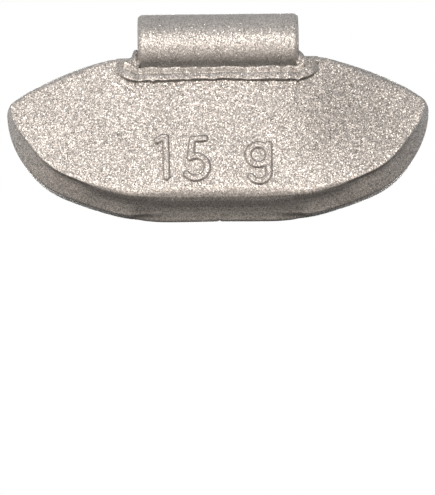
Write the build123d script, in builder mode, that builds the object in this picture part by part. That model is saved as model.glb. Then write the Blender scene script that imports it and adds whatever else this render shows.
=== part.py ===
import math
import os

from build123d import *

# Wheel balance weight for a steel car wheel: a die-cast zinc body with a sprung steel clip cast into it.
# The origin is on the axis of the clip's front bend, which the edge of the rim's flange sits in.
# X runs along the rim, +Y towards the wheel's hub side, +Z out from the wheel's axis. Millimetres.

# Wheel
flange_radius = 195.0  # from the wheel's axis to the flange's edge, on a 14 inch wheel
rim_radius = 1.7  # rolled edge of the flange, gripped by the front bend

# Clip
clip_width = 14.4
clip_sheet = 0.9
clip_entry = 66.0  # degrees below level at which the bend goes into the zinc
hook_radius = 6.25  # outside of the big bend, from the top to the lip
lip_angle = 6.0  # degrees below level at which the lip ends
lip_chamfer = 1.25
tang_bend = 0.7  # inside radius of the bend down into the zinc
tang_length = 6.0
tang_corner = 1.0
anchor_hole = 2.8  # the zinc runs through it and locks the clip
anchor_pitch = 7.6
tool_hole = 3.9  # for the tip of the pliers that pull the weight off
tool_hole_angle = 46.0  # degrees above level

# Body, seen from the front
body_length = 38.0
face_set = 1.15  # the front face stands this far in front of the bend's axis
top_curve = 32.0
top_height = 0.92  # top of that curve above the bend's axis, hidden by the clip
low_curve = 33.0
low_depth = 16.9  # bottom of that curve below the bend's axis, cut off by the foot
end_reach = 5.2  # from each end to where the tighter end curve starts
shoulder_rounding = 1.7
parting_set = 2.45  # the widest outline is this far behind the front face
front_draft = 28.0
back_draft = 6.0

# Body, in section
body_thickness = 6.1
foot_depth = 16.3  # flat underside below the bend's axis
foot_draft = 6.0
foot_roll = 1.8
crest_radius = 4.2
seat_gap = 1.85  # from the bend's axis to the sloping top, room for the flange
top_slope = 35.4  # degrees below level, falling to the back
back_slope = 19.5  # degrees off upright, below the crest

# Rib that rests on the rim, and the groove under it
rib_length = 21.8
rib_nose = 1.8
rib_proud = 0.95  # the nose stands this far behind the back slope at its own height
rib_drop = 10.85  # middle of the nose below the bend's axis
rib_top_slope = 60.8
rib_low_slope = 35.0
groove_depth = 0.8
groove_low = 14.95  # lower edge of the groove below the bend's axis

# Collar and ears where the zinc closes round the clip
collar_proud = 0.15
collar_low = 3.6
collar_top = 2.1
collar_low_width = 15.0
collar_top_width = 18.2
collar_rounding = 1.15
ear_width = 0.85
ear_proud = 0.3  # in front of the face
ear_depth = 1.5
ear_top = 0.9  # below the bend's axis
ear_height = 1.9
ear_taper = 24.0
ear_clearance = 0.3  # off the flange's edge

# Mould seam down the middle of the back, and the trimmed gate under it
seam_width = 0.2
seam_depth = 0.25
gate_width = 10.8
gate_depth = 0.1
notch_width = 1.8
notch_depth = 0.85
notch_inset = 0.35

edge_rounding = 0.3

# Places worked out from the sizes above
face_y = -face_set
half_length = body_length / 2
back_y = face_y + body_thickness
crest_y = back_y - crest_radius
slope_out = Vector(math.sin(math.radians(top_slope)), math.cos(math.radians(top_slope)))
crest_z = (-seat_gap - crest_radius - slope_out.X * crest_y) / slope_out.Y
past = 2 * body_thickness  # cutting shapes run this far past the body
half_sweep = math.degrees(math.asin(half_length / (flange_radius - foot_depth))) + 1
wheel_axis = Axis((0, 0, -flange_radius), (0, 1, 0))


def from_point(point, angle, distance):
    """The point at a distance from another, at an angle above level."""
    turn = math.radians(angle)
    return (point[0] + distance * math.cos(turn), point[1] + distance * math.sin(turn))


def back_height(z):
    """How far back the slope below the crest is, at a height."""
    top = from_point((crest_y, crest_z), -back_slope, crest_radius)
    return top[0] - (top[1] - z) * math.tan(math.radians(back_slope))


def wheel_side(inset):
    """Outline of the body's section: face, sloping top, crest and back slope, set in from the surface."""
    centre = (crest_y, crest_z)
    radius = crest_radius - inset
    crest_start = from_point(centre, 90 - top_slope, radius)
    crest_end = from_point(centre, -back_slope, radius)
    top_run = (crest_start[0] + 2 * face_set) / math.cos(math.radians(top_slope))
    low_run = (crest_end[1] + foot_depth + foot_roll) / math.cos(math.radians(back_slope))
    face_top = from_point(crest_start, 180 - top_slope, top_run)
    back_low = from_point(crest_end, -90 - back_slope, low_run)
    Polyline((face_top[0], back_low[1]), face_top, crest_start)
    CenterArc(centre, radius, 90 - top_slope, top_slope - 90 - back_slope)
    Polyline(crest_end, back_low, (face_top[0], back_low[1]))


def rib_side(inset):
    """Outline of the rib's section: upper flank, round nose and lower flank down into the groove."""
    centre = (back_height(-rib_drop) + rib_proud - rib_nose, -rib_drop)
    radius = rib_nose - inset
    upper = 90 - rib_top_slope
    nose_start = from_point(centre, upper, radius)
    nose_end = from_point(centre, rib_low_slope - 90, radius)
    flank_top = from_point(nose_start, upper + 90, crest_radius)
    flank_low = from_point(nose_end, 180 + rib_low_slope, 2 * rib_nose)
    Polyline((face_y + foot_roll, flank_low[1]), (face_y + foot_roll, flank_top[1]), flank_top, nose_start)
    CenterArc(centre, radius, upper, rib_low_slope - 90 - upper)
    Polyline(nose_end, flank_low, (face_y + foot_roll, flank_low[1]))


# Groove under the rib: its deepest corner lies on the line of the rib's lower flank
nose_centre = (back_height(-rib_drop) + rib_proud - rib_nose, -rib_drop)
flank_start = from_point(nose_centre, rib_low_slope - 90, rib_nose)
flank_fall = math.tan(math.radians(rib_low_slope))
back_fall = math.tan(math.radians(back_slope))
flank_gap = flank_start[0] - back_height(flank_start[1])
flank_run = (flank_gap + groove_depth) / (1 - flank_fall * back_fall)
groove_floor = (flank_start[0] - flank_run, flank_start[1] - flank_run * flank_fall)

# Outline of the body at its parting line
low_centre = (0, low_curve - low_depth)
low_turn = math.degrees(math.asin((half_length - end_reach) / low_curve))
low_end = from_point(low_centre, low_turn - 90, low_curve)
end_radius = end_reach / (1 - math.sin(math.radians(low_turn)))
end_centre = from_point(low_end, low_turn + 90, end_radius)
end_top = from_point(end_centre, 90 - low_turn, end_radius)
with BuildSketch(Plane.XZ.offset(face_set - parting_set)) as outline:
    with BuildLine():
        CenterArc(low_centre, low_curve, -90, low_turn)
        CenterArc(end_centre, end_radius, low_turn - 90, 180 - 2 * low_turn)
        Polyline(end_top, (end_top[0], past), (0, past), (0, -low_depth))
    make_face()
    mirror(about=Plane.YZ)
    with Locations((0, top_height - top_curve)):
        Circle(top_curve, mode=Mode.INTERSECT)
    shoulders = outline.vertices().group_by(Axis.Y)[-1]
    fillet(shoulders, shoulder_rounding)

# Body blank: the outline drafted towards the face and towards the back
with BuildPart() as blank:
    extrude(outline.sketch, amount=parting_set, taper=front_draft)
    fillet(blank.faces().sort_by(Axis.Y)[0].edges(), edge_rounding)
    extrude(outline.sketch, amount=-body_thickness, taper=back_draft)

# Foot: the underside is flat along the rim, with a rolled front edge
foot_front = (face_y, foot_roll - foot_depth)
foot_back = (face_y + foot_roll + past, past * math.tan(math.radians(foot_draft)) - foot_depth)
with BuildPart() as foot:
    with BuildSketch(Plane.YZ):
        with BuildLine():
            Polyline((face_y - past, past), (face_y - past, foot_front[1]), foot_front)
            CenterArc((face_y + foot_roll, foot_roll - foot_depth), foot_roll, 180, 90)
            Polyline((face_y + foot_roll, -foot_depth), foot_back, (foot_back[0], past))
            Line((foot_back[0], past), (face_y - past, past))
        make_face()
    extrude(amount=half_length, both=True)

# Gate: where the sprue was trimmed off, the foot is a little shorter
with BuildPart() as gate:
    with BuildSketch(Plane.XY.offset(-foot_depth)):
        Rectangle(gate_width, 2 * past)
    extrude(amount=gate_depth)

# Notch: the seam opens into a small wedge at the groove's lower edge
with BuildPart() as notch:
    with BuildSketch(Plane.XZ.offset(notch_inset - back_height(-groove_low))):
        with BuildLine():
            Polyline(
                (-notch_width / 2, -groove_low),
                (0, -groove_low - notch_depth),
                (notch_width / 2, -groove_low),
                (0, -groove_low + notch_depth),
                close=True,
            )
        make_face()
    extrude(amount=-past)

# Clip section: tang, bend down out of the zinc, front bend, and the big bend to the lip
entry = 180 + clip_entry
tang_centre = from_point((0, 0), entry, rim_radius + clip_sheet + tang_bend)
tang_top = (tang_centre[0] + tang_bend, tang_centre[1])
tang_back = tang_top[0] + clip_sheet
tang_low = tang_top[1] - tang_length
hook_inside = hook_radius - clip_sheet
hook_centre = (0, rim_radius - hook_inside)
hook_end = from_point(hook_centre, -lip_angle, hook_inside)
with BuildPart() as clip_blank:
    with BuildSketch(Plane.YZ) as clip_section:
        with BuildLine() as clip_outer:
            Line((tang_top[0], tang_low), tang_top)
            CenterArc(tang_centre, tang_bend, 0, clip_entry)
            CenterArc((0, 0), rim_radius + clip_sheet, entry, 90 - entry)
            CenterArc(hook_centre, hook_radius, 90, -lip_angle - 90)
        with BuildLine() as clip_inner:
            Line((tang_back, tang_low), (tang_back, tang_top[1]))
            CenterArc(tang_centre, tang_bend + clip_sheet, 0, clip_entry)
            CenterArc((0, 0), rim_radius, entry, 90 - entry)
            CenterArc(hook_centre, hook_inside, 90, -lip_angle - 90)
            Line(hook_end, from_point(hook_centre, -lip_angle, hook_radius))
            Line((tang_top[0], tang_low), (tang_back, tang_low))
        make_face(clip_outer.edges() + clip_inner.edges())
    extrude(amount=clip_width / 2, both=True)

hole_middle = from_point(hook_centre, tool_hole_angle, hook_inside)
hole_plane = Plane(
    origin=(0, *hole_middle), x_dir=(1, 0, 0),
    z_dir=(0, math.cos(math.radians(tool_hole_angle)), math.sin(math.radians(tool_hole_angle))),
)
with BuildPart() as steel_clip:
    add(clip_blank.part)
    flat_ends = steel_clip.faces().filter_by(lambda f: abs(f.normal_at().X) < 0.5).filter_by(GeomType.PLANE)
    lip_end = flat_ends.sort_by(Axis.Y)[-1]
    chamfer(lip_end.edges().filter_by(lambda e: e.length < clip_sheet * 1.01), lip_chamfer)
    tang_end = steel_clip.faces().sort_by(Axis.Z)[0]
    chamfer(tang_end.edges().filter_by(Axis.Y), tang_corner)
    with BuildSketch(hole_plane.offset(-clip_sheet)):
        Circle(tool_hole / 2)
    extrude(amount=3 * clip_sheet, mode=Mode.SUBTRACT)
    with BuildSketch(Plane.XZ.offset(clip_sheet - tang_top[0])):
        with Locations((0, (tang_top[1] + tang_low) / 2)):
            with GridLocations(anchor_pitch, 0, 2, 1):
                Circle(anchor_hole / 2)
    extrude(amount=-3 * clip_sheet, mode=Mode.SUBTRACT)

# Seam: a shallow groove all along the middle of the back
with BuildPart() as seam:
    with BuildSketch(Plane.YZ):
        with Locations((back_y, crest_z)):
            Rectangle(2 * past, 2 * past)
        with BuildLine():
            wheel_side(seam_depth)
        make_face(mode=Mode.SUBTRACT)
        with BuildLine():
            rib_side(seam_depth)
        make_face(mode=Mode.SUBTRACT)
    extrude(amount=seam_width / 2, both=True)

# Ears: zinc that rises against the sides of the clip, clear of the flange's edge
with BuildPart() as ears:
    with BuildSketch(Plane.YZ.offset(clip_width / 2)):
        with Locations((face_y - ear_proud, -ear_top)):
            Rectangle(ear_depth, ear_height, align=(Align.MIN, Align.MAX))
        Circle(rim_radius + ear_clearance, mode=Mode.SUBTRACT)
    extrude(amount=ear_width, taper=ear_taper)
    mirror(about=Plane.YZ)

with BuildPart() as zinc_body:
    turn = math.radians(half_sweep)
    start = Plane(
        origin=(-flange_radius * math.sin(turn), 0, flange_radius * (math.cos(turn) - 1)),
        x_dir=(0, 1, 0),
        z_dir=(math.cos(turn), 0, math.sin(turn)),
    )
    with BuildSketch(start):
        with BuildLine():
            wheel_side(0)
        make_face()
    revolve(axis=wheel_axis, revolution_arc=2 * half_sweep)
    with BuildSketch(Plane.YZ):
        with BuildLine():
            Polyline(
                from_point(groove_floor, rib_low_slope, past),
                groove_floor,
                (back_height(-groove_low), -groove_low),
                (back_height(-groove_low) + past, -groove_low),
                close=True,
            )
        make_face()
    extrude(amount=rib_length / 2, both=True, mode=Mode.SUBTRACT)
    with BuildSketch(Plane.YZ):
        with BuildLine():
            rib_side(0)
        make_face()
    extrude(amount=rib_length / 2, both=True)
    add(blank.part, mode=Mode.INTERSECT)
    add(foot.part, mode=Mode.INTERSECT)
    add(ears.part)
    with BuildSketch(Plane.XZ.offset(face_set)):
        with BuildLine():
            Polyline(
                (0, -collar_low),
                (collar_low_width / 2, -collar_low),
                (collar_top_width / 2, -collar_top),
                (0, -collar_top),
            )
            mirror(about=Plane.YZ)
        collar = make_face()
        fillet(collar.vertices().group_by(Axis.Y)[0], collar_rounding)
    extrude(amount=collar_proud)
    add(steel_clip.part, mode=Mode.SUBTRACT)
    add([seam.part, gate.part, notch.part], mode=Mode.SUBTRACT)

zinc_body.part.label = "zinc_body"
steel_clip.part.label = "steel_clip"
os.makedirs("parts", exist_ok=True)
export_step(zinc_body.part, "parts/zinc_body.step")
export_step(steel_clip.part, "parts/steel_clip.step")
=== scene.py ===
import math

import bpy
import numpy as np
from mathutils import Matrix, Vector


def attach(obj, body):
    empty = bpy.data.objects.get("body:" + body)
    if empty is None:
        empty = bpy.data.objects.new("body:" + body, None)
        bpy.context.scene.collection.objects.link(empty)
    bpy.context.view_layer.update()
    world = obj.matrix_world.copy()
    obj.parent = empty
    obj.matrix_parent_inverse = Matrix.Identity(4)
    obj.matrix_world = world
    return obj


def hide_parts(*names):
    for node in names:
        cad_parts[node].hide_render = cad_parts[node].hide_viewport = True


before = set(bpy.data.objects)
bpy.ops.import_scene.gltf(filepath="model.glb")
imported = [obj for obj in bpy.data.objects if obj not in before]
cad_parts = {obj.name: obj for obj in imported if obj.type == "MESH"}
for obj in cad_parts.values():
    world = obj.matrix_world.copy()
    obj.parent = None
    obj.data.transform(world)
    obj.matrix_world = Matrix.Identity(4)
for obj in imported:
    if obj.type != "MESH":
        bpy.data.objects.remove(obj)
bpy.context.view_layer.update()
scene = bpy.context.scene
print("frame loaded")


# Shapes are worked out in millimetres and written to the mesh in metres.
# +X runs along the rim, the numbered face looks towards -Y, and Z points out from the wheel's axis.

def newPiece(name, points, faces, material):
    mesh = bpy.data.meshes.new(name)
    mesh.from_pydata((points * 0.001).tolist(), [], faces)
    mesh.update()
    mesh.shade_smooth()
    piece = bpy.data.objects.new(name, mesh)
    scene.collection.objects.link(piece)
    dress(piece, material)
    return piece


def dress(piece, material):
    piece.data.materials.clear()
    piece.data.materials.append(material)
    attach(piece, "root")


def readVectors(source, key):
    # A mesh's points or normals, one row of x, y and z for each
    values = np.empty(len(source) * 3, np.float32)
    source.foreach_get(key, values)
    return values.reshape(-1, 3).astype(float)


def writePoints(mesh, points):
    # Back to metres, with the object left at the origin
    mesh.vertices.foreach_set("co", (points * 0.001).astype(np.float32).ravel())
    mesh.update()
    mesh.shade_smooth()


def evenCopy(node, name, voxel, softening):
    # A CAD node's loose triangles, merged, rebuilt on an even grid of that voxel (mm) and smoothed,
    # so that the edges are as round as paint leaves them
    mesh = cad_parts[node].data.copy()
    mesh.name = name
    mesh.transform(Matrix.Scale(1000, 4))
    piece = bpy.data.objects.new(name, mesh)
    scene.collection.objects.link(piece)
    weld = piece.modifiers.new("merge", "WELD")
    weld.merge_threshold = 0.0005
    grid = piece.modifiers.new("grid", "REMESH")
    grid.mode = "VOXEL"
    grid.voxel_size = voxel
    grid.use_smooth_shade = True
    smooth = piece.modifiers.new("softening", "SMOOTH")
    smooth.factor = 0.5
    smooth.iterations = softening
    solid = piece.evaluated_get(bpy.context.evaluated_depsgraph_get())
    even = bpy.data.meshes.new_from_object(solid)
    even.name = name
    piece.modifiers.clear()
    piece.data = even
    bpy.data.meshes.remove(mesh)
    return piece


def gridFaces(index):
    # Four corners for every cell of a grid of point numbers
    corners = (index[:-1, :-1], index[1:, :-1], index[1:, 1:], index[:-1, 1:])
    return np.stack(corners, -1).reshape(-1, 4)


def plainWaves(points, length, count, seed):
    # Smooth unevenness: plane waves in random directions, each 0.7 to 1.6 times `length` mm long,
    # added up and scaled so that most of it lies between -1 and 1
    draw = np.random.default_rng(seed)
    direction = draw.normal(size=(count, 3))
    direction /= np.linalg.norm(direction, axis=1, keepdims=True)
    direction *= 2 * np.pi / (length * draw.uniform(0.7, 1.6, (count, 1)))
    phase = draw.uniform(0, 2 * np.pi, count)
    return np.sin(points @ direction.T + phase).sum(1) / math.sqrt(count / 2) / 2


def softStep(value):
    # 0 to 1 with flat ends: v * v * (3 - 2 v)
    value = np.clip(value, 0, 1)
    return value * value * (3 - 2 * value)


def node(tree, kind, **settings):
    made = tree.nodes.new(kind)
    for key, value in settings.items():
        setattr(made, key, value)
    return made


def wire(tree, source, target):
    tree.links.new(source, target)


def maths(tree, operation, first, second=None, third=None, clamp=False):
    made = node(tree, "ShaderNodeMath", operation=operation, use_clamp=clamp)
    for socket, value in zip(made.inputs, (first, second, third)):
        if value is None:
            continue
        if isinstance(value, (int, float)):
            socket.default_value = value
        else:
            wire(tree, value, socket)
    return made.outputs[0]


# Silver paint
spray = {
    "patchScale": 260.0,  # per metre
    "patchDetail": 3.0,
    "flatShare": 0.6,  # tilt of the flattest flakes
    "steepShare": 1.9,  # what the steepest ones have on top of it
    "steepPower": 4.0,
    # Painted shade: the colour is darkened on down-facing surfaces and in a patch right of the middle
    "shadeBelowSlopes": (-0.6, -1.0),  # the normal's z at which the painted shade below sets in, and where it is darkest
    "shadePatchMiddle": (0.0125, -0.001, -0.007),
    "shadePatchReach": (0.0025, 0.0085),  # metres from that middle: darkest inside the first, none past the second
    "roughSpread": 0.2,
}


def fadeOut(tree, value, ends):
    # 1 at the first end and before it, 0 at the second and past it
    fade = node(tree, "ShaderNodeMapRange", interpolation_type="SMOOTHSTEP")
    wire(tree, value, fade.inputs["Value"])
    for name, number in zip(("From Min", "From Max", "To Min", "To Max"), (*ends, 1.0, 0.0)):
        fade.inputs[name].default_value = number
    return fade.outputs[0]


def flakeGroup(size):
    # Every flake is a small cell with its own tilt and brightness, over a slow patchiness; painted shade
    # darkens the down-facing surfaces and a patch right of the middle
    tree = bpy.data.node_groups.new("silverFlakes", "ShaderNodeTree")
    inputs = (
        ("Paint", "NodeSocketColor", None),
        ("Flake Scale", "NodeSocketFloat", 8000.0),
        ("Flake Tilt", "NodeSocketFloat", 0.4),
        ("Flake Contrast", "NodeSocketFloat", 0.2),
        ("Patch Contrast", "NodeSocketFloat", 0.1),
        # Painted shade on down-facing surfaces and in the patch right of the middle
        ("Painted Shade Below", "NodeSocketFloat", 0.4),
        ("Painted Shade Patch", "NodeSocketFloat", 0.2),
        ("Roughness", "NodeSocketFloat", 0.45),
    )
    outputs = (
        ("Color", "NodeSocketColor"),
        ("Roughness", "NodeSocketFloat"),
        ("Normal", "NodeSocketVector"),
    )
    for name, kind, value in inputs:
        made = tree.interface.new_socket(name, in_out="INPUT", socket_type=kind)
        if value is not None:
            made.default_value = value
    for name, kind in outputs:
        tree.interface.new_socket(name, in_out="OUTPUT", socket_type=kind)
    given = node(tree, "NodeGroupInput")
    result = node(tree, "NodeGroupOutput")
    place = node(tree, "ShaderNodeTexCoord").outputs["Object"]
    surface = node(tree, "ShaderNodeNewGeometry")

    flakes = node(tree, "ShaderNodeTexVoronoi", voronoi_dimensions="3D", feature="F1")
    wire(tree, place, flakes.inputs["Vector"])
    wire(tree, given.outputs["Flake Scale"], flakes.inputs["Scale"])
    patches = node(tree, "ShaderNodeTexNoise", noise_dimensions="3D")
    wire(tree, place, patches.inputs["Vector"])
    patches.inputs["Scale"].default_value = size["patchScale"]
    patches.inputs["Detail"].default_value = size["patchDetail"]

    # Each flake's tilt is its cell's random colour, taken about its middle and added to the normal.
    # A second random number r makes a few stand up steeply: tilt * (flat share + steep share * r^power)
    chance = node(tree, "ShaderNodeTexWhiteNoise", noise_dimensions="3D")
    wire(tree, flakes.outputs["Position"], chance.inputs["Vector"])
    steep = maths(tree, "POWER", chance.outputs["Value"], size["steepPower"])
    steep = maths(tree, "MULTIPLY_ADD", steep, size["steepShare"], size["flatShare"])
    steep = maths(tree, "MULTIPLY", steep, given.outputs["Flake Tilt"])
    middle = node(tree, "ShaderNodeVectorMath", operation="SUBTRACT")
    wire(tree, flakes.outputs["Color"], middle.inputs[0])
    middle.inputs[1].default_value = (0.5, 0.5, 0.5)
    tilt = node(tree, "ShaderNodeVectorMath", operation="SCALE")
    wire(tree, middle.outputs[0], tilt.inputs[0])
    wire(tree, steep, tilt.inputs["Scale"])
    lean = node(tree, "ShaderNodeVectorMath", operation="ADD")
    wire(tree, surface.outputs["Normal"], lean.inputs[0])
    wire(tree, tilt.outputs[0], lean.inputs[1])
    unit = node(tree, "ShaderNodeVectorMath", operation="NORMALIZE")
    wire(tree, lean.outputs[0], unit.inputs[0])
    wire(tree, unit.outputs[0], result.inputs["Normal"])

    # Brightness: 1 + contrast * (2 * cell - 1), times the same for the patches
    parts = node(tree, "ShaderNodeSeparateColor")
    wire(tree, flakes.outputs["Color"], parts.inputs[0])
    cell = maths(tree, "MULTIPLY_ADD", parts.outputs[1], 2.0, -1.0)
    cell = maths(tree, "MULTIPLY_ADD", cell, given.outputs["Flake Contrast"], 1.0)
    patch = maths(tree, "MULTIPLY_ADD", patches.outputs["Fac"], 2.0, -1.0)
    patch = maths(tree, "MULTIPLY_ADD", patch, given.outputs["Patch Contrast"], 1.0)
    bright = maths(tree, "MULTIPLY", cell, patch)

    # Painted shade: surfaces that face down, and a soft patch right of the middle, are darkened in colour to
    # stand in for the shade there
    facing = node(tree, "ShaderNodeSeparateXYZ")
    wire(tree, surface.outputs["Normal"], facing.inputs[0])
    paintedShade = maths(tree, "SUBTRACT", 1.0, fadeOut(tree, facing.outputs["Z"], size["shadeBelowSlopes"]))
    paintedShade = maths(tree, "MULTIPLY", paintedShade, given.outputs["Painted Shade Below"])
    bright = maths(tree, "MULTIPLY", bright, maths(tree, "SUBTRACT", 1.0, paintedShade))
    # Painted shade in a patch right of the middle
    reach = node(tree, "ShaderNodeVectorMath", operation="DISTANCE")
    wire(tree, place, reach.inputs[0])
    reach.inputs[1].default_value = size["shadePatchMiddle"]
    paintedShade = fadeOut(tree, reach.outputs["Value"], size["shadePatchReach"])
    paintedShade = maths(tree, "MULTIPLY", paintedShade, given.outputs["Painted Shade Patch"])
    bright = maths(tree, "MULTIPLY", bright, maths(tree, "SUBTRACT", 1.0, paintedShade))
    colour = node(tree, "ShaderNodeVectorMath", operation="SCALE")
    wire(tree, given.outputs["Paint"], colour.inputs[0])
    wire(tree, bright, colour.inputs["Scale"])
    wire(tree, colour.outputs[0], result.inputs["Color"])

    # Roughness: each flake's own, spread evenly about the given one
    rough = maths(tree, "MULTIPLY_ADD", parts.outputs[2], size["roughSpread"], -size["roughSpread"] / 2)
    rough = maths(tree, "ADD", rough, given.outputs["Roughness"], clamp=True)
    wire(tree, rough, result.inputs["Roughness"])
    return tree


silverFlakes = flakeGroup(spray)


def silverPaint(name, finish):
    material = bpy.data.materials.new(name)
    material.use_nodes = True
    tree = material.node_tree
    shader = tree.nodes["Principled BSDF"]
    flakes = node(tree, "ShaderNodeGroup", node_tree=silverFlakes)
    flakes.inputs["Paint"].default_value = (*finish["paint"], 1)
    flakes.inputs["Flake Scale"].default_value = 1000 / finish["flakeSize"]
    flakes.inputs["Flake Tilt"].default_value = finish["flakeTilt"]
    flakes.inputs["Flake Contrast"].default_value = finish["flakeContrast"]
    flakes.inputs["Patch Contrast"].default_value = finish["patchContrast"]
    # Painted shade amounts, below and in the patch, from the finish
    flakes.inputs["Painted Shade Below"].default_value = finish["paintedShadeBelow"]
    flakes.inputs["Painted Shade Patch"].default_value = finish["paintedShadePatch"]
    flakes.inputs["Roughness"].default_value = finish["roughness"]
    wire(tree, flakes.outputs["Color"], shader.inputs["Base Color"])
    wire(tree, flakes.outputs["Roughness"], shader.inputs["Roughness"])
    wire(tree, flakes.outputs["Normal"], shader.inputs["Normal"])
    shader.inputs["Metallic"].default_value = finish["metallic"]
    return material


# Die-cast body
castBody = {
    "voxel": 0.136,
    "softening": 3,
    "unevenness": 0.02,
    "waveLength": 6.0,
    "waveCount": 24,
    "seed": 5,
    "paint": (0.36, 0.346, 0.335),
    "flakeSize": 0.085,
    "flakeTilt": 0.62,
    "flakeContrast": 0.65,
    "patchContrast": 0.1,
    # Painted shade: how much the colour darkens on down-facing surfaces and in the patch right of the middle
    "paintedShadeBelow": 0.72,
    "paintedShadePatch": 0.28,
    "roughness": 0.5,
    "metallic": 0.6,
    # Foot in section, (y, z): roll under the face, steep wall, drafted band, lowest edge.
    # One line for the middle, where the roll is soft, and one for both sides
    "footMiddle": [
        (-1.15, -13.70), (-1.11, -13.92), (-1.02, -14.13), (-0.86, -14.37), (-0.60, -14.62), (-0.20, -14.86),
        (0.20, -15.03), (0.62, -15.20), (1.07, -15.45), (1.55, -15.76), (2.05, -16.13), (2.30, -16.12),
    ],
    "footSide": [
        (-1.15, -13.70), (-1.15, -14.25), (-1.12, -14.45), (-1.03, -14.64), (-0.85, -14.82), (-0.50, -14.97),
        (-0.10, -15.10), (0.30, -15.30), (0.75, -15.61), (1.10, -15.88), (1.40, -16.14), (2.00, -16.09),
        (2.30, -16.06),
    ],
    "footCentre": (1.2, -13.2),
    "footCore": 0.8,  # points nearer the centre than this stay
    "footBlend": (4.5, 8.5),  # the middle's line turns into the side's between these
    "footWidth": (9.5, 13.0),  # full strength out to the first, none past the second
    "footEnd": -71.0,  # degrees about the centre at which the reshaping ends
    "footEndFade": 6.0,
    # How far the section rises with the outline: (distance from the middle, rise)
    "footRise": [
        (0, 0), (4, 0), (5, 0.04), (6, 0.12), (7, 0.21), (8, 0.34), (9, 0.57), (10, 0.86),
        (11, 1.20), (12, 1.58), (13, 2.00),
    ],
    # The corners where the flat underside ends
    "cornerAt": 6.9,
    "cornerWidth": 1.1,
    "cornerTop": -15.0,
    "cornerFade": 0.8,
    "cornerWear": 0.13,
    # Face: how far out its edge is at these heights, and how far it moves outwards there
    "faceHeights": [-14.4, -13.6, -12.0, -10.0, -9.1, -8.2, -7.2, -6.0, -5.0, -3.5],
    "faceEdge": [8.0, 11.2, 14.6, 16.4, 16.9, 17.3, 17.6, 17.8, 17.8, 17.0],
    "faceShift": [0.0, 0.1, 0.18, 0.2, 0.37, 0.62, 0.84, 0.9, 0.8, 0.4],
    "faceFrom": 0.5,  # share of the way out at which the shift sets in
    "faceFade": 0.45,
    "parting": 1.2,  # y of the parting line, where nothing moves
    "partingDepth": 2.2,  # this far in front of it the shift is whole
    # Hollow of the drafted sides: its depth, and the share of it at each y
    "coveDepth": 0.32,
    "coveLine": [(-1.15, 0), (-0.9, 0.55), (-0.55, 1), (-0.2, 0.95), (0.4, 0.5), (1.3, 0)],
    "coveTop": -4.5,
    "coveFade": 2.0,
    # Valley between the collar's ridge and the clip
    "valleyFrom": -2.88,
    "valleyTop": -0.9,
    "valleyFloor": -0.6,
    "valleyHalf": 7.25,
    "valleyFade": 0.12,
    "valleyEndFade": 0.15,
    # Mould seam
    "seamWidth": 0.08,
    "seamDepth": 0.17,
    "seamWander": 0.05,
    "seamWaveLength": 2.5,
    "seamWaveCount": 8,
    "seamFrom": 1.8,
    "seamFade": 0.5,
    "seamFacing": 0.05,  # least y of the normal on the back
}
zincPaint = silverPaint("zincPaint", castBody)


def lineInTurn(line, centre, angle):
    # Distance from the centre to the line at each angle about it; 0 outside the line's own angles
    samples = 300
    line = np.array(line) - centre
    steps = np.linspace(0, len(line) - 1, samples)
    line = np.column_stack([np.interp(steps, np.arange(len(line)), line[:, axis]) for axis in (0, 1)])
    return np.interp(angle, np.arctan2(line[:, 1], line[:, 0]), np.hypot(line[:, 0], line[:, 1]), 0, 0)


def shapeFoot(points, size):
    # Every point of the foot's front moves onto the section's line, towards or away from a centre inside it.
    # The section rises with |x| as the outline does
    across = np.abs(points[:, 0])
    centre = np.array(size["footCentre"])
    away = points[:, 1:] - centre
    away[:, 1] -= np.interp(across, *np.transpose(size["footRise"]))
    angle, radius = np.arctan2(away[:, 1], away[:, 0]), np.hypot(away[:, 0], away[:, 1])
    inner, outer = size["footBlend"]
    side = softStep((across - inner) / (outer - inner))
    middleLine, sideLine = (lineInTurn(size[key], centre, angle) for key in ("footMiddle", "footSide"))
    line = (1 - side) * middleLine + side * sideLine
    inner, outer = size["footWidth"]
    strength = softStep((outer - across) / (outer - inner))
    strength *= (middleLine > 0) * (sideLine > 0) * (radius > size["footCore"])
    strength *= softStep((size["footEnd"] - np.degrees(angle)) / size["footEndFade"])
    points[:, 1:] += away * (strength * (line - radius) / np.maximum(radius, size["footCore"]))[:, None]
    # The corners are worn round by wear * exp(-((|x| - at) / width)^2)
    corner = np.exp(-(((across - size["cornerAt"]) / size["cornerWidth"]) ** 2))
    corner *= softStep((size["cornerTop"] - points[:, 2]) / size["cornerFade"])
    points[:, 2] += size["cornerWear"] * corner


def hollowSides(points, normals, size):
    # Past the foot the drafted side is drawn in along its own normal, by a depth read from the section
    out = normals * (1, 0, 1)
    # Normals that point almost straight to the front or back aren't stretched to full length
    shortest = 0.2
    out /= np.maximum(np.linalg.norm(out, axis=1, keepdims=True), shortest)
    inner, outer = size["footWidth"]
    strength = softStep((np.abs(points[:, 0]) - inner) / (outer - inner))
    strength *= softStep((size["coveTop"] - points[:, 2]) / size["coveFade"])
    depth = size["coveDepth"] * strength * np.interp(points[:, 1], *np.transpose(size["coveLine"]), 0, 0)
    points -= out * depth[:, None]


def reshapeFace(points, size):
    # The drafted side is narrow at the tips' upper corners and wider below them. Towards the face,
    # points near the outline move along x by an amount read from a table of heights
    edge, shift, height = (np.array(size[key]) for key in ("faceEdge", "faceShift", "faceHeights"))
    near = np.abs(points[:, 0]) / np.interp(points[:, 2], height, edge)
    strength = softStep((near - size["faceFrom"]) / size["faceFade"])
    strength *= softStep((size["parting"] - points[:, 1]) / size["partingDepth"])
    points[:, 0] += np.sign(points[:, 0]) * strength * np.interp(points[:, 2], height, shift)


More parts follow.
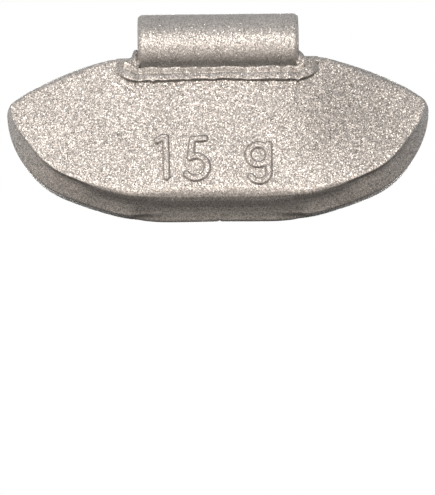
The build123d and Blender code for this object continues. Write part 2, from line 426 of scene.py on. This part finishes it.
def openValley(points, size):
    # Between the collar's ridge and the clip the zinc falls back to a valley: y is at least the floor's there
    depth = softStep((points[:, 2] - size["valleyFrom"]) / size["valleyFade"])
    depth *= softStep((size["valleyHalf"] - np.abs(points[:, 0])) / size["valleyEndFade"])
    depth *= points[:, 2] < size["valleyTop"]
    points[:, 1] += depth * np.maximum(size["valleyFloor"] - points[:, 1], 0)


def carveSeam(points, normals, size):
    # The mould seam down the middle of the back: a groove depth * exp(-(x / width)^2) that wanders a little
    wander = plainWaves(points * (0, 1, 1), size["seamWaveLength"], size["seamWaveCount"], size["seed"] + 1)
    wander *= size["seamWander"]
    groove = np.exp(-(((points[:, 0] - wander) / size["seamWidth"]) ** 2))
    groove *= normals[:, 1] > size["seamFacing"]
    groove *= softStep((points[:, 1] - size["seamFrom"]) / size["seamFade"])
    points -= normals * (size["seamDepth"] * groove)[:, None]


def roughen(points, normals, size):
    # Moves every point along its normal by unevenness * plain waves
    uneven = plainWaves(points, size["waveLength"], size["waveCount"], size["seed"])
    points += normals * (uneven * size["unevenness"])[:, None]


def makeCastBody(size):
    piece = evenCopy("zinc_body", "castBody", size["voxel"], size["softening"])
    points = readVectors(piece.data.vertices, "co")
    normals = readVectors(piece.data.vertex_normals, "vector")
    reshapeFace(points, size)
    hollowSides(points, normals, size)
    shapeFoot(points, size)
    openValley(points, size)
    carveSeam(points, normals, size)
    roughen(points, normals, size)
    writePoints(piece.data, points)
    dress(piece, zincPaint)
    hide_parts("zinc_body")
    print("cast body", len(points), "points")


makeCastBody(castBody)


# Sprung steel clip
steelClip = {
    "voxel": 0.11,
    "softening": 8,
    "half": 7.2,
    "round": 0.42,
    "offset": 0.1,  # along x, as cast in
    "unevenness": 0.012,
    "waveLength": 5.0,
    "waveCount": 24,
    "seed": 8,
    "paint": (0.335, 0.325, 0.317),
    "flakeSize": 0.08,
    "flakeTilt": 0.65,
    "flakeContrast": 0.45,
    "patchContrast": 0.08,
    # Painted shade on the clip's down-facing surfaces; none in the patch
    "paintedShadeBelow": 0.3,
    "paintedShadePatch": 0.0,
    "roughness": 0.46,
    "metallic": 0.6,
}
clipPaint = silverPaint("clipPaint", steelClip)


def makeClip(size):
    piece = evenCopy("steel_clip", "sprungClip", size["voxel"], size["softening"])
    points = readVectors(piece.data.vertices, "co")
    normals = readVectors(piece.data.vertex_normals, "vector")
    # Both ends are rolled over: the sheet thins by round - sqrt(round^2 - past^2)
    past = np.clip(np.abs(points[:, 0]) - size["half"] + size["round"], 0, size["round"])
    points -= normals * (0, 1, 1) * (size["round"] - np.sqrt(size["round"] ** 2 - past ** 2))[:, None]
    roughen(points, normals, size)
    points[:, 0] += size["offset"]
    writePoints(piece.data, points)
    dress(piece, clipPaint)
    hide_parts("steel_clip")
    print("clip", len(points), "points")


makeClip(steelClip)


# Collar ridge, where the zinc closed round the clip
collarRidge = {
    "faceY": -1.15,
    "half": 9.45,
    "columns": 420,
    "low": -3.97,
    "sag": 0.12,
    "sagReach": 6,
    "cornerFrom": 6.9,
    "cornerRise": 1.5,
    "cornerPower": 2.6,
    "top": -2.84,
    "endFrom": 7.0,
    "endFade": 1.2,
    "endRise": 0.6,
    "waveLengths": (1.6, 0.7, 2.4, 1.1),  # of the lower edge, twice of the upper one, and of the height
    "waveCount": 12,
    "wobble": 0.035,
    "heightWobble": 0.22,
    "burrs": [(-5.75, 0.14), (7.2, 0.11)],  # x and size of the little drips on the lower edge
    "burrWidth": 0.13,
    # Section from the lower edge to the upper one: (share of the way up, height off the face)
    "section": [
        (0, -0.12), (0, 0.22), (0.004, 0.46), (0.015, 0.56), (0.05, 0.60), (0.14, 0.60), (0.30, 0.58),
        (0.45, 0.55), (0.53, 0.51), (0.58, 0.47), (0.62, 0.50), (0.70, 0.57), (0.80, 0.66), (0.90, 0.73),
        (0.95, 0.73), (0.985, 0.64), (1, 0.45), (1, -0.20), (1, -0.45),
    ],
    "sunk": -0.12,  # height to which the section shrinks at both ends
    "seed": 21,
}


def makeCollarRidge(size):
    # The section is carried along x between a lower edge and an upper one. The lower edge is
    # low - sag + cornerRise * share^cornerPower, with the share going from 0 at cornerFrom to 1 at the end
    x = np.linspace(-size["half"], size["half"], size["columns"])
    across = np.abs(x)
    section = np.array(size["section"])
    along = np.column_stack((x, np.zeros_like(x), np.zeros_like(x)))
    waves = [plainWaves(along, length, size["waveCount"], size["seed"] + n)
             for n, length in enumerate(size["waveLengths"])]
    corner = np.clip((across - size["cornerFrom"]) / (size["half"] - size["cornerFrom"]), 0, 1)
    low = size["low"] - size["sag"] * softStep(across / size["sagReach"])
    low += size["cornerRise"] * corner ** size["cornerPower"]
    low += size["wobble"] * waves[0]
    for place, drip in size["burrs"]:
        low -= drip * np.exp(-(((x - place) / size["burrWidth"]) ** 2))
    top = size["top"] + size["endRise"] * softStep((across - size["endFrom"]) / size["endFade"])
    top += size["wobble"] * (waves[1] + waves[2])
    fade = softStep((size["half"] - across) / size["endFade"])
    share, height = section[:, 0], section[:, 1]
    z = low[:, None] + share * (top - low)[:, None]
    proud = size["sunk"] + (height - size["sunk"]) * (fade * (1 + size["heightWobble"] * waves[3]))[:, None]
    y = size["faceY"] - proud
    points = np.column_stack((np.repeat(x, len(section)), y.ravel(), z.ravel()))
    faces = gridFaces(np.arange(len(points)).reshape(z.shape))
    newPiece("collarRidge", points, faces.tolist(), zincPaint)
    print("collar ridge", len(points), "points")


makeCollarRidge(collarRidge)


# Ears and flash: lumps of zinc against both sides of the clip
clipEars = {
    "names": ("earLeft", "earRight"),
    "middle": (7.68, -1.0, -2.42),
    "radii": (0.58, 0.42, 0.88),
    "lean": 0.5,  # the top leans towards the clip
    "lumps": 0.16,
    "waveLength": 1.1,
    "waveCount": 16,
    "seed": 33,
}
clipFlash = {
    "names": ("flashLeft", "flashRight"),
    "middle": (7.64, 1.2, -1.85),
    "radii": (0.48, 0.62, 1.42),
    "lean": 0.22,
    "lumps": 0.2,
    "waveLength": 1.0,
    "waveCount": 16,
    "seed": 47,
}


def makeLumps(size):
    # An ellipsoid on each side of the clip that leans in, roughened by plane waves, with closed poles
    around, rows = 48, 30
    turn = np.linspace(0, 2 * np.pi, around, endpoint=False)
    rise = np.linspace(-np.pi / 2, np.pi / 2, rows + 2)[1:-1]
    ball = np.stack((np.cos(rise)[:, None] * np.cos(turn), np.cos(rise)[:, None] * np.sin(turn),
                     np.repeat(np.sin(rise)[:, None], around, 1)), -1).reshape(-1, 3)
    ball = np.vstack((ball, (0, 0, -1), (0, 0, 1)))
    index = np.arange(rows * around).reshape(rows, around)
    right = np.roll(index, -1, 1)
    quads = np.stack((index[:-1], right[:-1], right[1:], index[1:]), -1).reshape(-1, 4)
    low = np.column_stack((right[0], index[0], np.full(around, rows * around)))
    high = np.column_stack((index[-1], right[-1], np.full(around, rows * around + 1)))
    faces = quads.tolist() + low.tolist() + high.tolist()
    for side, name in zip((-1, 1), size["names"]):
        points = ball * size["radii"]
        points[:, 0] -= size["lean"] * np.maximum(points[:, 2], 0)
        lumps = plainWaves(ball, size["waveLength"], size["waveCount"], size["seed"] + side)
        points += ball * (size["lumps"] * lumps)[:, None]
        points = (points + size["middle"]) * (side, 1, 1)
        # Mirrored faces run the other way round, so that they still look outwards
        ordered = [face[::side] for face in faces]
        newPiece(name, points, ordered, zincPaint)
    print(size["names"], len(ball), "points each")


makeLumps(clipEars)
makeLumps(clipFlash)


# Raised mass mark on the face
massMark = {
    "faceY": -1.15,
    "strokeWidth": 0.58,
    "height": 0.27,
    "side": 0.26,  # width of the sloping side of a stroke
    "step": 0.05,
    "sink": 0.06,  # how deep the sheet lies under the face
    "bottomShare": 0.98,  # what is deeper than this share of the sink counts as its bottom
    "sheetX": (-6.2, 5.4),
    "sheetZ": (-14.0, -8.6),
    # Middle lines of the strokes, (x, z)
    "lines": [
        [(-5.40, -9.52), (-4.98, -9.28), (-4.66, -9.24), (-4.60, -12.92)],
        [(-1.17, -9.38), (-2.28, -9.44), (-2.50, -11.16)],
        [(4.47, -9.98), (4.47, -12.55)],
    ],
    # Centre, radius, first and last angle, number of points
    "arcs": [
        ((-2.02, -12.02), 1.03, 119, -142, 24),
        ((3.55, -10.95), 0.92, 0, 360, 40),
        ((3.62, -12.55), 0.85, 0, -152, 24),
    ],
}


def arcPath(centre, radius, start, end, count):
    turn = np.radians(np.linspace(start, end, count))
    return np.column_stack((centre[0] + radius * np.cos(turn), centre[1] + radius * np.sin(turn)))


def distanceToPaths(x, z, paths):
    # Shortest distance from each point to any run of the paths.
    # The nearest place on a run's line is kept between the run's ends
    nearest = np.full(x.shape, np.inf)
    for path in paths:
        start, run = path[:-1], np.diff(path, axis=0)
        away = np.stack((x[..., None] - start[:, 0], z[..., None] - start[:, 1]))
        along = (away[0] * run[:, 0] + away[1] * run[:, 1]) / (run ** 2).sum(1)
        along = np.clip(along, 0, 1)
        gap = np.hypot(away[0] - along * run[:, 0], away[1] - along * run[:, 1]).min(-1)
        nearest = np.minimum(nearest, gap)
    return nearest


def makeMark(size):
    # A sheet just under the face that rises into a flat-topped ridge along every stroke
    strokes = [np.array(line) for line in size["lines"]] + [arcPath(*arc) for arc in size["arcs"]]
    across, up = np.arange(*size["sheetX"], size["step"]), np.arange(*size["sheetZ"], size["step"])
    x, z = np.meshgrid(across, up, indexing="ij")
    gap = distanceToPaths(x, z, strokes)
    rise = softStep((size["strokeWidth"] / 2 + size["side"] / 2 - gap) / size["side"])
    height = (size["height"] + size["sink"]) * rise - size["sink"]
    points = np.column_stack((x.ravel(), size["faceY"] - height.ravel(), z.ravel()))
    quads = gridFaces(np.arange(x.size).reshape(x.shape))
    # Cells that lie at the sheet's bottom with all four corners are left out
    bottom = -size["sink"] * size["bottomShare"]
    quads = quads[(height.ravel()[quads] > bottom).any(1)]
    used, renamed = np.unique(quads, return_inverse=True)
    newPiece("massMark", points[used], renamed.reshape(-1, 4).tolist(), zincPaint)
    print("mark", len(used), "points")


makeMark(massMark)


# Floor, light and camera
studio = {
    "floorLevel": -0.32,
    "floorSize": 2.0,
    "floorColour": (0.62, 0.62, 0.62),
    "floorRoughness": 0.9,
    "ambient": (0.15, 0.152, 0.155),
    "lampAim": (0, 0, -0.007),
    "lampColour": (1.0, 0.90, 0.81),
    "keyPower": 2.45,
    "keySize": 0.26,
    "keyPlace": (-0.06, -0.38, -0.115),
    "backPower": 1.5,
    "backSize": 0.2,
    "backPlace": (0.0, 0.40, 0.12),
}


def makeFloor(size):
    half, level = size["floorSize"] / 2, size["floorLevel"]
    mesh = bpy.data.meshes.new("floor")
    corners = [(-half, -half, level), (half, -half, level), (half, half, level), (-half, half, level)]
    mesh.from_pydata(corners, [], [(0, 1, 2, 3)])
    floor = bpy.data.objects.new("floor", mesh)
    scene.collection.objects.link(floor)
    material = bpy.data.materials.new("floorPaper")
    material.use_nodes = True
    shader = material.node_tree.nodes["Principled BSDF"]
    shader.inputs["Base Color"].default_value = (*size["floorColour"], 1)
    shader.inputs["Roughness"].default_value = size["floorRoughness"]
    mesh.materials.append(material)


def makeWorld(size):
    # White where the camera, or a reflection, looks past the object; a plain grey everywhere else
    world = bpy.data.worlds.new("studio")
    scene.world = world
    world.use_nodes = True
    tree = world.node_tree
    tree.nodes.clear()
    path = node(tree, "ShaderNodeLightPath")
    seen = maths(tree, "ADD", path.outputs["Is Camera Ray"], path.outputs["Is Glossy Ray"])
    seen = maths(tree, "ADD", seen, path.outputs["Is Transmission Ray"], clamp=True)
    white = node(tree, "ShaderNodeBackground")
    white.inputs["Color"].default_value = (1, 1, 1, 1)
    grey = node(tree, "ShaderNodeBackground")
    grey.inputs["Color"].default_value = (*size["ambient"], 1)
    mix = node(tree, "ShaderNodeMixShader")
    wire(tree, seen, mix.inputs[0])
    wire(tree, grey.outputs[0], mix.inputs[1])
    wire(tree, white.outputs[0], mix.inputs[2])
    wire(tree, mix.outputs[0], node(tree, "ShaderNodeOutputWorld").inputs["Surface"])


def softLight(name, size):
    # A round lamp that looks at the object and isn't seen itself
    light = bpy.data.lights.new(name, "AREA")
    light.shape = "DISK"
    light.size = size[name + "Size"]
    light.energy = size[name + "Power"]
    light.color = size["lampColour"]
    lamp = bpy.data.objects.new(name, light)
    lamp.location = size[name + "Place"]
    towards = Vector(size["lampAim"]) - lamp.location
    lamp.rotation_euler = towards.to_track_quat("-Z", "Y").to_euler()
    lamp.visible_camera = False
    scene.collection.objects.link(lamp)


makeFloor(studio)
makeWorld(studio)
softLight("key", studio)
softLight("back", studio)

view = {
    "elevation": -18.0,
    "distance": 0.250,
    "middle": (0, 0.0021, -0.0065),  # what the camera stands square to
    "aim": (-0.00017, 0.00572, -0.01754),  # what the middle of the picture shows
    "roll": 0.65,
    "lens": 201.3,
    "sensor": 36,
    "clipStart": 0.01,
}


def makeCamera(size):
    camera = bpy.data.objects.new("camera", bpy.data.cameras.new("camera"))
    scene.collection.objects.link(camera)
    scene.camera = camera
    camera.data.sensor_width = size["sensor"]
    camera.data.lens = size["lens"]
    camera.data.clip_start = size["clipStart"]
    low = math.radians(size["elevation"])
    place = Vector(size["middle"]) + size["distance"] * Vector((0, -math.cos(low), math.sin(low)))
    look = (Vector(size["aim"]) - place).to_track_quat("-Z", "Y").to_matrix()
    roll = Matrix.Rotation(math.radians(-size["roll"]), 3, "Z")
    camera.matrix_world = Matrix.Translation(place) @ (look @ roll).to_4x4()


makeCamera(view)
scene.view_settings.view_transform = "Standard"
print("studio ready")
